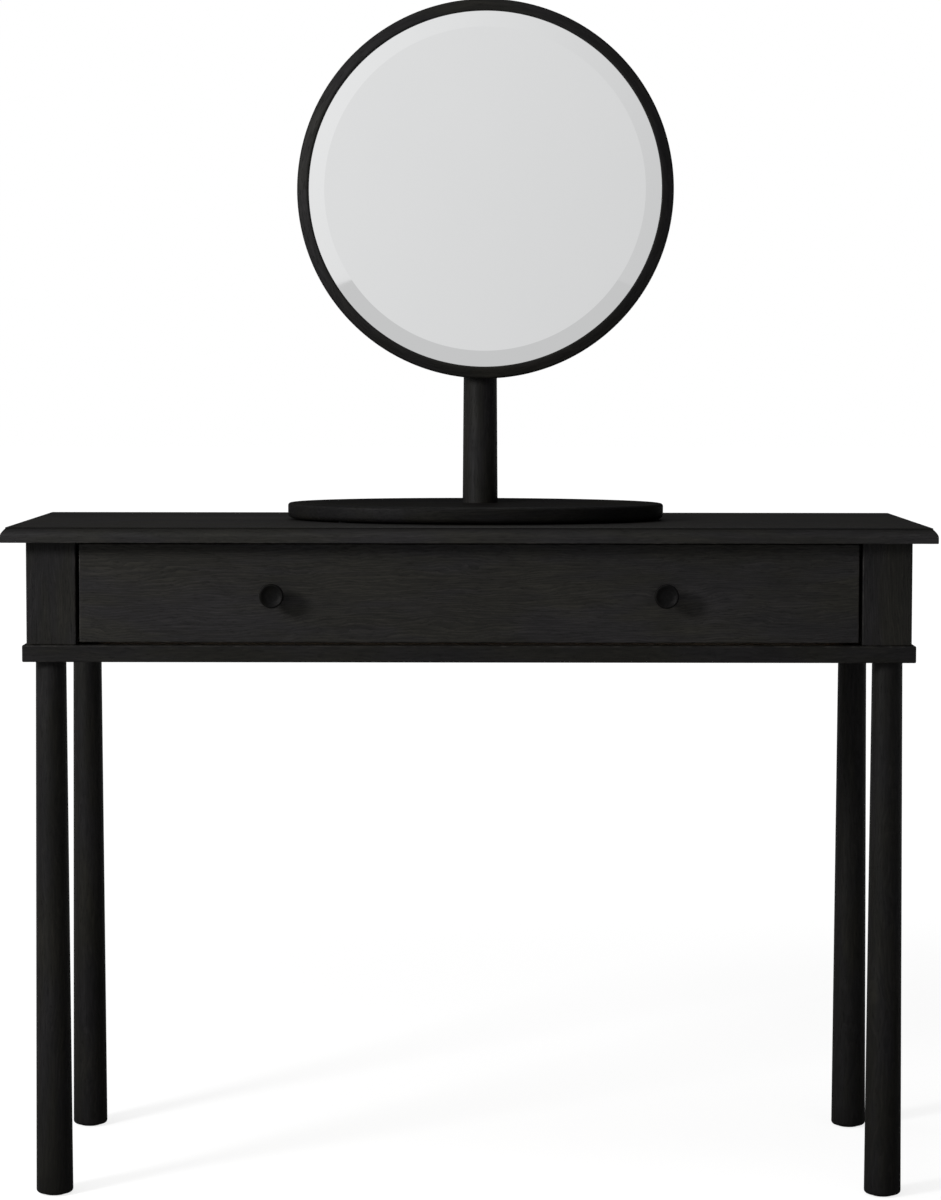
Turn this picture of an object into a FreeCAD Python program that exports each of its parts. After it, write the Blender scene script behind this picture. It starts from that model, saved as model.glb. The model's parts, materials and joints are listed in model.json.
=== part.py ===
import FreeCAD, Part
import math
import os
import re
import Sketcher
from FreeCAD import Placement, Rotation, Vector

# Dressing table with one wide drawer and a loose round mirror on an oval stand.
# Frame: X to the right, Y to the back, Z up, in millimetres; the origin is on the floor under the middle of
# the table top. The user sits at the -Y side.

DIMENSIONS = [
    ("table_width", 1100, "length of the top"),
    ("table_depth", 450, "front to back of the top"),
    ("table_height", 803, "floor to upper face of the top"),
    ("top_thick", 18, ""),
    ("top_round", 8, "radius of the top's upper edge"),
    ("eased", 1, "radius of edges that are only broken"),
    ("case_width", 1046, "over the corner posts"),
    ("case_tall", 122, "height of the drawer case"),
    ("case_inset", 26.5, "overhang of the top at the front"),
    ("back_inset", 1.5, "overhang of the top at the back"),
    ("post_wide", 58.6, "corner post, along X"),
    ("post_deep", 52, "front corner post, along Y"),
    ("rear_post_deep", 48, "rear corner post, along Y"),
    ("waist_thick", 20, "rail round the foot of the case"),
    ("waist_lip", 4.8, "how far that rail stands proud of the case"),
    ("front_waist_wide", 56.5, ""),
    ("rear_waist_wide", 55, ""),
    ("side_waist_wide", 90, "wide enough to carry the drawer bearers"),
    ("panel_thick", 18, "side and rear panels"),
    ("panel_recess", 4, "how far the panels lie behind the posts' faces"),
    ("tongue_long", 8, ""),
    ("tongue_thick", 8, ""),
    ("leg_inset", 25.8, "leg axis from the case's side"),
    ("leg_top_dia", 36.2, ""),
    ("leg_foot_dia", 44, ""),
    ("leg_foot_round", 4, ""),
    ("glide_dia", 26, ""),
    ("glide_thick", 2, ""),
    ("bolt_dia", 8, "hanger bolts of the legs and bolt of the stem"),
    ("bolt_in_leg", 45, ""),
    ("insert_dia", 12, ""),
    ("insert_long", 20, ""),
    ("insert_hole", 28, "depth of the post's hole for the insert"),
    ("side_gap", 3.8, "drawer front to post"),
    ("gap_below", 3, "drawer front to waist rail"),
    ("gap_above", 2, "drawer front to top"),
    ("drawer_recess", 2, "drawer front behind the posts' faces"),
    ("front_thick", 20, "drawer front"),
    ("drawer_side_thick", 12, ""),
    ("drawer_side_tall", 92, ""),
    ("drawer_side_long", 341, "behind the drawer front"),
    ("side_lift", 8.2, "underside of the drawer sides over the waist rail"),
    ("tail_long", 13, "dovetails let into the drawer front"),
    ("tail_tall", 22, "height at the wide end"),
    ("tail_root", 17, "height at the narrow end"),
    ("tail_first", 16, "middle of the lowest tail over the side's underside"),
    ("tail_pitch", 30, ""),
    ("groove_lift", 6, "drawer bottom's groove over the side's underside"),
    ("groove_deep", 5, ""),
    ("bottom_thick", 6, ""),
    ("drawer_back_thick", 12, ""),
    ("back_from_end", 6, "drawer back in front of the sides' rear ends"),
    ("housing_deep", 4, "housing of the drawer back in the sides"),
    ("back_drop", 6, "drawer back lower than the sides"),
    ("bottom_play", 0.6, "drawer bottom narrower than its grooves"),
    ("batten_wide", 40, ""),
    ("batten_lift", 0.2, "batten over the sides' underside"),
    ("bearer_thick", 8, ""),
    ("bearer_wide", 60, ""),
    ("guide_tall", 32, ""),
    ("guide_gap", 0.8, "guide to drawer side"),
    ("kicker_thick", 19, ""),
    ("top_rail_thick", 16, ""),
    ("top_rail_wide", 48, ""),
    ("closed_gap", 2.5, "drawer front's back to the front top rail"),
    ("stop_long", 10, ""),
    ("stop_wide", 16, ""),
    ("stop_tall", 20, ""),
    ("stop_gap", 0.4, "drawer side to stop"),
    ("kicker_gap", 1, "kicker to rear top rail"),
    ("screw_dia", 4, "wood screws"),
    ("screw_head_dia", 8, ""),
    ("screw_head_thick", 2.5, ""),
    ("top_screw_long", 27, ""),
    ("kicker_screw_long", 30, ""),
    ("kicker_screw_in", 48, "from the bearers' inner edges"),
    ("bearer_screw_long", 20, ""),
    ("bearer_screw_in", 4.5, "from the bearers' inner edges"),
    ("sunk_head_thick", 0.1, "heads sunk flush with the bearers"),
    ("screw_row_inset", 30, "outer screws from the posts"),
    ("knob_apart", 464.4, "between the knobs' axes"),
    ("knob_lift", 59.5, "knob axis over the waist rail"),
    ("knob_dia", 29, ""),
    ("knob_long", 26, ""),
    ("knob_neck_dia", 14, ""),
    ("knob_bore_dia", 4, ""),
    ("knob_bore_deep", 16, ""),
    ("knob_screw_head", 9, ""),
    ("stand_x", 7, "middle of the mirror's base from the table's middle"),
    ("stand_y", 17, ""),
    ("stand_turn", 4, "degrees that the mirror is turned to the left"),
    ("base_wide", 466, "oval base"),
    ("base_deep", 334, ""),
    ("base_thick", 19, ""),
    ("base_rim", 30, "rim round the base's dish"),
    ("dish_deep", 3, ""),
    ("base_under_round", 6, ""),
    ("base_top_round", 1.5, ""),
    ("pad_dia", 20, "felt pads under the base"),
    ("pad_thick", 1.5, ""),
    ("pad_x", 150, "from the base's middle"),
    ("pad_y", 95, ""),
    ("bolt_seat_dia", 26, "sunk seat of the stem's bolt"),
    ("bolt_seat_deep", 7, ""),
    ("stem_back", 88, "stem's axis behind the base's middle"),
    ("stem_foot_dia", 44.5, ""),
    ("stem_pivot_dia", 38.6, ""),
    ("stem_flat", 30, "width across the flats at the pivot"),
    ("flat_drop", 34, "flats below the pivot"),
    ("stem_crown", 17, "top of the stem over the pivot"),
    ("crown_flat_dia", 18, "flat top of the crown"),
    ("stem_bore_deep", 46, ""),
    ("pivot_lift", 410, "pivot over the table top"),
    ("pivot_bolt_dia", 6, ""),
    ("pivot_bore_dia", 6.1, "running fit in the yoke"),
    ("stand_off", 28, "pivot axis behind the mirror's back"),
    ("head_shift", 8, "middle of the mirror to the right of the stem"),
    ("ring_dia", 471.4, ""),
    ("ring_deep", 20, ""),
    ("ring_opening", 442, "seen glass"),
    ("ring_fall", 2, "outer edge behind the inner edge of the ring's front"),
    ("ring_round", 2.5, "front outer edge"),
    ("ring_ease", 1.2, "front inner and back outer edges"),
    ("rebate_dia", 449, "rebate for glass and board"),
    ("lip_thick", 3, ""),
    ("glass_dia", 447, ""),
    ("glass_thick", 5, ""),
    ("bevel_flat_dia", 402, "where the bevel starts"),
    ("bevel_drop", 1.8, ""),
    ("board_dia", 448, ""),
    ("board_thick", 12, ""),
    ("yoke_thick", 2.9, ""),
    ("yoke_wide", 92, ""),
    ("yoke_tall", 34, ""),
    ("arm_wide", 24, "round-ended arms of the yoke"),
    ("yoke_screw_x", 37, "from the yoke's middle"),
    ("yoke_screw_y", 10, ""),
    ("yoke_screw_long", 13, ""),
    ("washer_thick", 1.55, "fibre washer between stem and yoke"),
    ("washer_gap", 0.05, "play at each face of the yoke's arms"),
    ("steel_washer_thick", 1.2, ""),
    ("steel_washer_dia", 16, ""),
    ("clip_wide", 12, "clips that hold the backing board"),
    ("clip_thick", 1.5, ""),
    ("clip_screw_dia", 3, ""),
    ("clip_screw_long", 14, ""),
    ("clip_head_dia", 6, ""),
    ("clip_head_thick", 1.8, ""),
]

SIDES = (("left", -1), ("right", 1))

doc = FreeCAD.newDocument("DressingTable")
sheet = doc.addObject("Spreadsheet::Sheet", "dims")
size = {}
parts = []


def fill_sheet():
    """Writes each driving dimension, its name and its note on a row of the sheet."""
    for row, (alias, value, note) in enumerate(DIMENSIONS, start=1):
        sheet.set(f"A{row}", alias)
        sheet.set(f"B{row}", str(value))
        sheet.setAlias(f"B{row}", alias)
        sheet.set(f"C{row}", note)
        size[alias] = value
    doc.recompute()


def bound(text):
    """The expression with each dimension's name pointed at its cell of the sheet."""
    return re.sub(r"[a-z_]+", lambda word: f"dims.{word[0]}" if word[0] in size else word[0], text)


# ---------------------------------------------------------------- bodies, sketches and features


def keep(obj, label):
    """Registers obj as a sub-part of its own."""
    obj.Label = label
    parts.append(obj)
    return obj


def new_body(label):
    return keep(doc.addObject("PartDesign::Body", label), label)


def place(obj, x="0", y="0", z="0", turn=Rotation()):
    """Puts a sub-part at a point of the table, given by expressions."""
    obj.Placement = Placement(Vector(), turn)
    for axis, text in zip("xyz", (x, y, z)):
        obj.setExpression(f"Placement.Base.{axis}", bound(text))


def place_on_stand(obj, back="0", up="0", side="0", facing_front=False):
    """Puts a sub-part in the mirror stand's own frame, which is turned on the table top.

    back is the distance behind the base's middle, side the distance to its right and up the height over the
    top. With facing_front the part's +Z points out of the mirror's face.
    """
    turn = Rotation(Vector(0, 0, 1), -size["stand_turn"])
    if facing_front:
        turn = turn.multiply(Rotation(Vector(1, 0, 0), 90))
    across = f"({side}) * cos(stand_turn) + ({back}) * sin(stand_turn)"
    along = f"({back}) * cos(stand_turn) - ({side}) * sin(stand_turn)"
    place(obj, f"stand_x + {across}", f"stand_y + {along}", f"table_height + {up}", turn)


def new_sketch(body, name, role, offset=("0", "0", "0")):
    """A sketch on one of the body's own origin planes, shifted by offset in the sketch's own axes."""
    sketch = body.newObject("Sketcher::SketchObject", name)
    plane = [feature for feature in body.Origin.OriginFeatures if feature.Role == role][0]
    sketch.AttachmentSupport = [(plane, "")]
    sketch.MapMode = "FlatFace"
    for axis, text in zip("xyz", offset):
        sketch.setExpression(f"AttachmentOffset.Base.{axis}", bound(text))
    return sketch


def drive(sketch, constraint, text):
    """Adds a dimension to the sketch and binds it to the sheet."""
    index = sketch.addConstraint(constraint)
    sketch.setExpression(f"Constraints[{index}]", bound(text))


def rectangle(body, name, role, wide, tall, offset=("0", "0", "0")):
    """A rectangle centred on the sketch's origin."""
    sketch = new_sketch(body, name, role, offset)
    corners = [Vector(x, y, 0) for x, y in ((-9, -9), (9, -9), (9, 9), (-9, 9))]
    for start, end in zip(corners, corners[1:] + corners[:1]):
        sketch.addGeometry(Part.LineSegment(start, end))
    for line in range(4):
        sketch.addConstraint(Sketcher.Constraint("Coincident", line, 2, (line + 1) % 4, 1))
    for line in range(4):
        sketch.addConstraint(Sketcher.Constraint("Vertical" if line % 2 else "Horizontal", line))
    sketch.addConstraint(Sketcher.Constraint("Symmetric", 0, 1, 2, 1, -1, 1))
    drive(sketch, Sketcher.Constraint("DistanceX", 0, 1, 0, 2, 18.0), wide)
    drive(sketch, Sketcher.Constraint("DistanceY", 1, 1, 1, 2, 18.0), tall)
    return sketch


def circle(body, name, role, diameter, offset=("0", "0", "0")):
    """A circle centred on the sketch's origin."""
    sketch = new_sketch(body, name, role, offset)
    sketch.addGeometry(Part.Circle(Vector(0, 0, 0), Vector(0, 0, 1), 5))
    sketch.addConstraint(Sketcher.Constraint("Coincident", 0, 3, -1, 1))
    drive(sketch, Sketcher.Constraint("Diameter", 0, 10.0), diameter)
    return sketch


def polygon(body, name, role, points, offset=("0", "0", "0")):
    """A closed outline through points given as pairs of expressions, none of them negative."""
    sketch = new_sketch(body, name, role, offset)
    count = len(points)
    start = [
        Vector(60 + 50 * math.cos(6.28 * n / count), 60 + 50 * math.sin(6.28 * n / count), 0)
        for n in range(count)
    ]
    for here, there in zip(start, start[1:] + start[:1]):
        sketch.addGeometry(Part.LineSegment(here, there))
    for line in range(count):
        sketch.addConstraint(Sketcher.Constraint("Coincident", line, 2, (line + 1) % count, 1))
    for line, (across, up) in enumerate(points):
        for kind, text, axis in (("DistanceX", across, -2), ("DistanceY", up, -1)):
            if text == "0":
                sketch.addConstraint(Sketcher.Constraint("PointOnObject", line, 1, axis))
            else:
                drive(sketch, Sketcher.Constraint(kind, -1, 1, line, 1, 10.0), text)
    return sketch


def pad(body, sketch, length, symmetric=False):
    feature = body.newObject("PartDesign::Pad", sketch.Name + "Pad")
    feature.Profile = sketch
    feature.setExpression("Length", bound(length))
    if symmetric:
        feature.SideType = "Symmetric"
    sketch.Visibility = False
    doc.recompute()
    return feature


def pocket(body, sketch, depth, upward=False):
    """Cuts against the sketch plane's normal, or along it with upward, and checks that wood was removed."""
    before = body.Shape.Volume
    feature = body.newObject("PartDesign::Pocket", sketch.Name + "Pocket")
    feature.Profile = sketch
    feature.Reversed = upward
    feature.setExpression("Length", bound(depth))
    sketch.Visibility = False
    doc.recompute()
    if body.Shape.Volume > before - 1:
        raise RuntimeError(f"{sketch.Name} in {body.Label} cuts nothing")
    return feature


def revolve(body, sketch):
    """Turns a profile drawn on the XZ plane about the body's Z axis."""
    feature = body.newObject("PartDesign::Revolution", sketch.Name + "Turned")
    feature.Profile = sketch
    feature.ReferenceAxis = (sketch, ["V_Axis"])
    feature.Angle = 360
    sketch.Visibility = False
    doc.recompute()
    return feature


def round_edges(body, radius, wanted):
    """Rounds the edges of the body's tip for which wanted(edge) is true."""
    tip = body.Tip
    names = [f"Edge{n}" for n, edge in enumerate(tip.Shape.Edges, start=1) if wanted(edge)]
    feature = body.newObject("PartDesign::Fillet", "Rounding")
    feature.Base = (tip, names)
    feature.setExpression("Radius", bound(radius))
    doc.recompute()
    return feature


def level_edge(height):
    """Picks edges that lie wholly at one height of the body's own frame."""
    return lambda edge: abs(edge.BoundBox.ZMin - height) < 0.01 and abs(edge.BoundBox.ZMax - height) < 0.01


def board(label, wide, deep, tall, x="0", y="0", z="0"):
    """A sawn board; its own origin is the middle of its underside."""
    body = new_body(label)
    pad(body, rectangle(body, "Outline", "XY_Plane", wide, deep), tall)
    place(body, x, y, z)
    return body


def turned(label, profile):
    """A turned piece from a half profile of (radius, height) pairs."""
    body = new_body(label)
    revolve(body, polygon(body, "Profile", "XZ_Plane", profile))
    return body


def group(label, shapes):
    """Identical fasteners as one sub-part of separate solids."""
    feature = keep(doc.addObject("Part::Feature", label), label)
    feature.Shape = Part.makeCompound(shapes)
    return feature


def rod(diameter, start, direction, length):
    """A plain cylinder from start along direction."""
    return Part.makeCylinder(diameter / 2, length, start, direction)


def screw(diameter, length, head_dia, head_thick, seat, into):
    """A round-headed screw whose head sits on the point seat and whose shank goes along into."""
    outwards = into * -1
    head = rod(head_dia, seat, outwards, head_thick)
    rim = [edge for edge in head.Edges if abs((edge.CenterOfMass - seat).dot(outwards) - head_thick) < 0.01]
    head = head.makeFillet(head_thick * 0.6, rim)
    shank = rod(diameter, seat, into, length - diameter)
    tip_start = seat + into * (length - diameter)
    tip = Part.makeCone(diameter / 2, diameter / 8, diameter, tip_start, into)
    return head.fuse([shank, tip]).removeSplitter()


# ---------------------------------------------------------------- levels and faces of the case

WAIST_UNDER = "table_height - top_thick - case_tall - waist_thick"
CASE_FLOOR = "table_height - top_thick - case_tall"
CASE_ROOF = "table_height - top_thick"
FRONT_FACE = "-table_depth / 2 + case_inset"
BACK_FACE = "table_depth / 2 - back_inset"
POST_BEHIND = f"({FRONT_FACE} + post_deep)"
REAR_POST_FRONT = f"({BACK_FACE} - rear_post_deep)"
BAY_DEEP = f"({REAR_POST_FRONT} - {POST_BEHIND})"
BAY_MIDDLE = f"({REAR_POST_FRONT} + {POST_BEHIND}) / 2"
POST_X = "(case_width - post_wide) / 2"
OPENING = "(case_width - 2 * post_wide)"
LEG_X = "(case_width / 2 - leg_inset)"
FRONT_LEG_Y = f"{FRONT_FACE} + post_deep / 2"
REAR_LEG_Y = f"{BACK_FACE} - rear_post_deep / 2"
DRAWER_WIDE = f"({OPENING} - 2 * side_gap)"
DRAWER_FACE = f"({FRONT_FACE} + drawer_recess)"
SIDE_START = f"({DRAWER_FACE} + front_thick)"
SIDE_UNDER = f"{CASE_FLOOR} + side_lift"
TOP_RAIL_FRONT = f"({SIDE_START} + closed_gap)"
TOP_RAIL_REAR = f"({BACK_FACE} - panel_recess - panel_thick - top_rail_wide)"


def at(text):
    """The number that a dimension expression of one of the levels above comes to."""
    obj = doc.getObject("levels") or doc.addObject("App::FeaturePython", "levels")
    if "Value" not in obj.PropertiesList:
        obj.addProperty("App::PropertyFloat", "Value")
    obj.setExpression("Value", bound(text))
    doc.recompute()
    return obj.Value


# ---------------------------------------------------------------- table


def table_top():
    top = board("table_top", "table_width", "table_depth", "top_thick", z=CASE_ROOF)
    round_edges(top, "top_round", level_edge(size["top_thick"]))
    round_edges(top, "eased", level_edge(0))


def corner_posts():
    """Four square posts, grooved for the panels and bored from below for the leg's threaded insert."""
    for side, sign in SIDES:
        for end in ("front", "rear"):
            deep = "post_deep" if end == "front" else "rear_post_deep"
            middle = FRONT_LEG_Y if end == "front" else REAR_LEG_Y
            post = board(f"{end}_post_{side}", "post_wide", deep, "case_tall", f"{sign} * {POST_X}", middle,
                         CASE_FLOOR)
            to_bay = 1 if end == "front" else -1
            groove_x = f"{sign} * (post_wide / 2 - panel_recess - panel_thick / 2)"
            groove_y = f"{to_bay} * ({deep} - tongue_long) / 2"
            groove = rectangle(post, "PanelGroove", "XY_Plane", "tongue_thick", "tongue_long",
                               (groove_x, groove_y, "case_tall"))
            pocket(post, groove, "case_tall")
            if end == "rear":
                groove = rectangle(post, "RearPanelGroove", "XY_Plane", "tongue_long", "tongue_thick",
                                   (f"{-sign} * (post_wide - tongue_long) / 2",
                                    f"{deep} / 2 - panel_recess - panel_thick / 2", "case_tall"))
                pocket(post, groove, "case_tall")
            hole = circle(post, "InsertHole", "XY_Plane", "insert_dia",
                          (f"{sign} * (post_wide / 2 - leg_inset)", "0", "0"))
            pocket(post, hole, "insert_hole", upward=True)


def case_panels():
    """Side and rear panels with a tongue along each upright edge."""
    for side, sign in SIDES:
        x = f"{sign} * (case_width / 2 - panel_recess - panel_thick / 2)"
        panel = board(f"side_panel_{side}", "panel_thick", BAY_DEEP, "case_tall", x, BAY_MIDDLE, CASE_FLOOR)
        tongues = rectangle(panel, "Tongues", "XY_Plane", "tongue_thick", f"{BAY_DEEP} + 2 * tongue_long")
        pad(panel, tongues, "case_tall")
    y = f"{BACK_FACE} - panel_recess - panel_thick / 2"
    panel = board("rear_panel", OPENING, "panel_thick", "case_tall", "0", y, CASE_FLOOR)
    tongues = rectangle(panel, "Tongues", "XY_Plane", f"{OPENING} + 2 * tongue_long", "tongue_thick")
    pad(panel, tongues, "case_tall")


def waist_rails():
    """The flat frame under the case; the legs stand against its underside."""
    full = "case_width + 2 * waist_lip"
    front_edge = f"{FRONT_FACE} - waist_lip"
    rails = (("front", "front_waist_wide", f"{front_edge} + front_waist_wide / 2", FRONT_LEG_Y),
             ("rear", "rear_waist_wide", "table_depth / 2 - rear_waist_wide / 2", REAR_LEG_Y))
    for end, wide, middle, leg_y in rails:
        rail = board(f"waist_rail_{end}", full, wide, "waist_thick", "0", middle, WAIST_UNDER)
        for side, sign in SIDES:
            hole = circle(rail, f"BoltHole_{side}", "XY_Plane", "bolt_dia + 1",
                          (f"{sign} * {LEG_X}", f"{leg_y} - ({middle})", "waist_thick"))
            pocket(rail, hole, "waist_thick")
    start = f"({front_edge} + front_waist_wide)"
    end = "(table_depth / 2 - rear_waist_wide)"
    for side, sign in SIDES:
        x = f"{sign} * (case_width / 2 + waist_lip - side_waist_wide / 2)"
        board(f"waist_rail_{side}", "side_waist_wide", f"{end} - {start}", "waist_thick", x,
              f"({start} + {end}) / 2", WAIST_UNDER)


def top_rails():
    """Two flat rails between the posts, under the top, which hold the top down."""
    for end, near_edge in (("front", TOP_RAIL_FRONT), ("rear", TOP_RAIL_REAR)):
        board(f"top_rail_{end}", OPENING, "top_rail_wide", "top_rail_thick", "0",
              f"{near_edge} + top_rail_wide / 2", f"{CASE_ROOF} - top_rail_thick")


def legs():
    """Round legs that get thicker towards the floor, each bored on its axis for a hanger bolt."""
    leg_long = f"({WAIST_UNDER} - glide_thick)"
    profile = [("0", "0"), ("leg_foot_dia / 2", "0"), ("leg_top_dia / 2", leg_long),
               ("bolt_dia / 2", leg_long), ("bolt_dia / 2", f"{leg_long} - bolt_in_leg"),
               ("0", f"{leg_long} - bolt_in_leg")]
    for end, y in (("front", FRONT_LEG_Y), ("rear", REAR_LEG_Y)):
        for side, sign in SIDES:
            leg = turned(f"leg_{end}_{side}", profile)
            round_edges(leg, "leg_foot_round", level_edge(0))
            place(leg, f"{sign} * {LEG_X}", y, "glide_thick")
            glide = new_body(f"glide_{end}_{side}")
            pad(glide, circle(glide, "Disc", "XY_Plane", "glide_dia"), "glide_thick")
            place(glide, f"{sign} * {LEG_X}", y)


def leg_hardware():
    """Hanger bolts up the legs' axes, and the brass inserts that they screw into."""
    spots = [Vector(sign * at(LEG_X), at(y), 0) for y in (FRONT_LEG_Y, REAR_LEG_Y) for _, sign in SIDES]
    up = Vector(0, 0, 1)
    bolt_from = at(WAIST_UNDER) - size["bolt_in_leg"]
    bolt_long = size["bolt_in_leg"] + size["waist_thick"] + size["insert_long"]
    group("leg_bolts", [rod(size["bolt_dia"], spot + up * bolt_from, up, bolt_long) for spot in spots])
    inserts = []
    for spot in spots:
        foot = spot + up * at(CASE_FLOOR)
        outside = rod(size["insert_dia"], foot, up, size["insert_long"])
        inserts.append(outside.cut(rod(size["bolt_dia"], foot, up, size["insert_long"])))
    group("leg_inserts", inserts)


def drawer_run():
    """Bearers under, guides beside and kickers over the drawer's sides, with a stop behind each."""
    panel_inside = "(case_width / 2 - panel_recess - panel_thick)"
    guide_inside = f"({DRAWER_WIDE} / 2 + guide_gap)"
    kicker_start = f"({TOP_RAIL_FRONT} + top_rail_wide)"
    kicker_end = f"({TOP_RAIL_REAR} - kicker_gap)"
    kicker_long = f"{kicker_end} - {kicker_start}"
    for side, sign in SIDES:
        strip_x = f"{sign} * ({panel_inside} - bearer_wide / 2)"
        board(f"drawer_bearer_{side}", "bearer_wide", BAY_DEEP, "bearer_thick", strip_x, BAY_MIDDLE,
              CASE_FLOOR)
        board(f"drawer_kicker_{side}", "bearer_wide", kicker_long, "kicker_thick", strip_x,
              f"({kicker_start} + {kicker_end}) / 2", f"{CASE_ROOF} - kicker_thick")
        board(f"drawer_guide_{side}", f"{panel_inside} - {guide_inside}", BAY_DEEP, "guide_tall",
              f"{sign} * ({panel_inside} + {guide_inside}) / 2", BAY_MIDDLE, f"{CASE_FLOOR} + bearer_thick")
    stop_front = at(f"{SIDE_START} + drawer_side_long + stop_gap")
    stop_under = at(f"{CASE_FLOOR} + bearer_thick")
    stop_x = at(guide_inside) - size["guide_gap"] - size["stop_wide"] / 2
    stops = []
    for _, sign in SIDES:
        corner = Vector(sign * stop_x - size["stop_wide"] / 2, stop_front, stop_under)
        stops.append(Part.makeBox(size["stop_wide"], size["stop_long"], size["stop_tall"], corner))
    group("drawer_stops", stops)


def wood_screw(seat, into, length):
    return screw(size["screw_dia"], length, size["screw_head_dia"], size["screw_head_thick"], seat, into)


def case_screws():
    """Screws up through the top rails, down through the bearers and up through the kickers."""
    up = Vector(0, 0, 1)
    down = Vector(0, 0, -1)
    rail_under = at(f"{CASE_ROOF} - top_rail_thick")
    rail_rows = [at(f"{near_edge} + top_rail_wide / 2") for near_edge in (TOP_RAIL_FRONT, TOP_RAIL_REAR)]
    seventh = at(OPENING) / 7
    seats = [Vector(share * seventh, y, rail_under) for y in rail_rows for share in (-3, -1, 1, 3)]
    group("top_screws", [wood_screw(seat, up, size["top_screw_long"]) for seat in seats])

    inside = at("case_width / 2 - panel_recess - panel_thick - bearer_wide")
    front_row = at(POST_BEHIND) + size["screw_row_inset"]
    rear_row = at(REAR_POST_FRONT) - size["screw_row_inset"]
    x = inside + size["bearer_screw_in"]
    bearer_top = at(f"{CASE_FLOOR} + bearer_thick")
    rows = (front_row, at(BAY_MIDDLE), rear_row)
    seats = [Vector(sign * x, y, bearer_top) for _, sign in SIDES for y in rows]
    group("bearer_screws", [screw(size["screw_dia"], size["bearer_screw_long"], size["screw_head_dia"],
                                  size["sunk_head_thick"], seat, down) for seat in seats])

    x = inside + size["kicker_screw_in"]
    kicker_under = at(f"{CASE_ROOF} - kicker_thick")
    quarter = (rear_row - front_row) / 4
    rows = (front_row + quarter, rear_row - quarter)
    seats = [Vector(sign * x, y, kicker_under) for _, sign in SIDES for y in rows]
    group("kicker_screws", [wood_screw(seat, up, size["kicker_screw_long"]) for seat in seats])


# ---------------------------------------------------------------- drawer


def tail_outline(body, name, offset):
    """One dovetail seen from the side: narrow at the drawer side's end, wide at its tip, on the YZ plane."""
    slope = "(tail_tall - tail_root) / 2"
    points = [("0", "0"), ("tail_long", slope), ("tail_long", f"{slope} + tail_root"), ("0", "tail_tall")]
    return polygon(body, name, "YZ_Plane", points, offset)


def drawer_front():
    """The front, with sockets for the side's dovetails and a groove for the bottom in its back."""
    tall = "case_tall - gap_below - gap_above"
    front = board("drawer_front", DRAWER_WIDE, "front_thick", tall, "0", f"{DRAWER_FACE} + front_thick / 2",
                  f"{CASE_FLOOR} + gap_below")
    under = "side_lift - gap_below"
    for side, sign in SIDES:
        for number in range(3):
            foot = f"{under} + tail_first + {number} * tail_pitch - tail_tall / 2"
            offset = ("front_thick / 2 - tail_long", foot, f"{sign} * {DRAWER_WIDE} / 2")
            socket = tail_outline(front, f"Socket_{side}_{number}", offset)
            pocket(front, socket, "drawer_side_thick", upward=sign < 0)
    groove_long = f"{DRAWER_WIDE} - 2 * drawer_side_thick + 2 * groove_deep"
    groove = rectangle(front, "BottomGroove", "XY_Plane", groove_long, "groove_deep",
                       ("0", "(front_thick - groove_deep) / 2", f"{under} + groove_lift + bottom_thick"))
    pocket(front, groove, "bottom_thick")
    for side, sign in SIDES:
        hole = circle(front, f"KnobHole_{side}", "XZ_Plane", "knob_bore_dia + 0.5",
                      (f"{sign} * knob_apart / 2", "knob_lift - gap_below", "front_thick / 2"))
        pocket(front, hole, "front_thick")
    round_edges(front, "eased", lambda edge: abs(edge.BoundBox.YMax + size["front_thick"] / 2) < 0.01
                and edge.BoundBox.DiagonalLength > 50)


def drawer_sides():
    """Sides with three tails at the front, a groove for the bottom and a housing for the back."""
    inward = "(drawer_side_thick - groove_deep) / 2"
    above_bottom = "drawer_side_tall - groove_lift - bottom_thick"
    for side, sign in SIDES:
        x = f"{sign} * ({DRAWER_WIDE} - drawer_side_thick) / 2"
        body = board(f"drawer_side_{side}", "drawer_side_thick", "drawer_side_long", "drawer_side_tall", x,
                     f"{SIDE_START} + drawer_side_long / 2", SIDE_UNDER)
        for number in range(3):
            foot = f"tail_first + {number} * tail_pitch - tail_tall / 2"
            tail = tail_outline(body, f"Tail_{number}", ("-drawer_side_long / 2 - tail_long", foot, "0"))
            pad(body, tail, "drawer_side_thick", symmetric=True)
        groove_long = "drawer_side_long + 2 * groove_deep"
        groove = rectangle(body, "BottomGroove", "XY_Plane", "groove_deep", groove_long,
                           (f"{-sign} * {inward}", "0", "groove_lift + bottom_thick"))
        pocket(body, groove, "bottom_thick")
        housing_x = f"{-sign} * (drawer_side_thick - housing_deep) / 2"
        housing_y = "drawer_side_long / 2 - back_from_end - drawer_back_thick / 2"
        housing = rectangle(body, "BackHousing", "XY_Plane", "housing_deep", "drawer_back_thick",
                            (housing_x, housing_y, "drawer_side_tall"))
        pocket(body, housing, above_bottom)


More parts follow.
